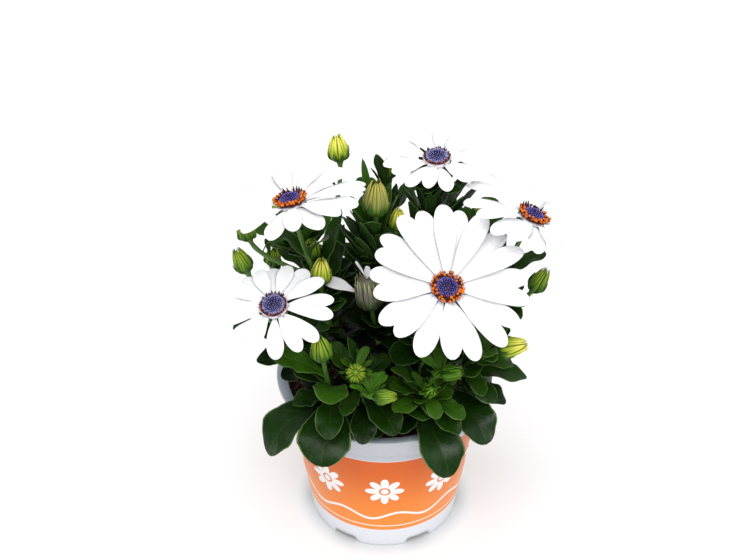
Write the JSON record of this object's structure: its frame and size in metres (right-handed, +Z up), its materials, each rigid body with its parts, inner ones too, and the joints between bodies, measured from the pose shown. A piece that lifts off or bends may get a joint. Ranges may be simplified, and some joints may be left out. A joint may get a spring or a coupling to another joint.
{
  "type": "potted african daisy",
  "caption": "Bushy osteospermum plant with open daisy blooms, buds and toothed leaves, in a tapered round grower pot filled with soil.",
  "frame": {"origin": "middle of the flat pad under the pot, on the ground plane", "axes": "+Z up along the pot's axis, -Y the front, +X to the right as seen from the front"},
  "size_m": [0.1768, 0.1351, 0.2076],
  "materials": {
    "pot": "white, lightly glossy, with a printed orange band",
    "soil": "dark fibrous peat",
    "foliage": "satin dark green leaves on green stems",
    "petals": "matte white",
    "florets": "matte violet blue",
    "anthers": "powdery orange",
    "buds": "yellow green with darker grooves",
    "opening_bud": "grey green with purple grooves"
  },
  "bodies": {
    "root": {"pot": "pot", "soil": "soil", "shoot_front_right": "foliage", "shoot_left_back": "foliage", "shoot_left": "foliage", "shoot_back_right": "foliage", "shoot_right": "foliage", "shoot_back": "foliage", "shoot_mid_left": "foliage", "shoot_low_left": "foliage", "shoot_low_front": "foliage", "shoot_centre": "foliage", "shoot_low_right": "foliage", "shoot_far_right": "foliage", "shoot_rear_left": "foliage", "shoot_rear": "foliage", "shoot_rear_right": "foliage", "petals_front_right": "petals", "disc_front_right": "florets", "anthers_front_right": "anthers", "petals_left_back": "petals", "disc_left_back": "florets", "anthers_left_back": "anthers", "petals_left_front": "petals", "disc_left_front": "florets", "anthers_left_front": "anthers", "petals_back_right": "petals", "disc_back_right": "florets", "anthers_back_right": "anthers", "petals_right": "petals", "disc_right": "florets", "anthers_right": "anthers", "bud_crown_left": "buds", "bud_tall": "buds", "bud_behind": "buds", "bud_far_left": "buds", "bud_left_small": "buds", "bud_mid_small": "buds", "bud_mid_yellow": "buds", "bud_low_left": "buds", "bud_low_front": "buds", "bud_opening": "opening_bud", "petals_opening": "petals", "petal_side_opening": "petals", "bud_right_green": "buds", "bud_right_yellow": "buds", "bud_front_green": "buds", "bud_shoot_tip": "buds", "bud_shoot_side": "buds", "bud_cup_left": "buds", "bud_rear_left": "buds", "bud_rear": "buds", "bud_rear_right": "buds"}
  },
  "joints": []
}
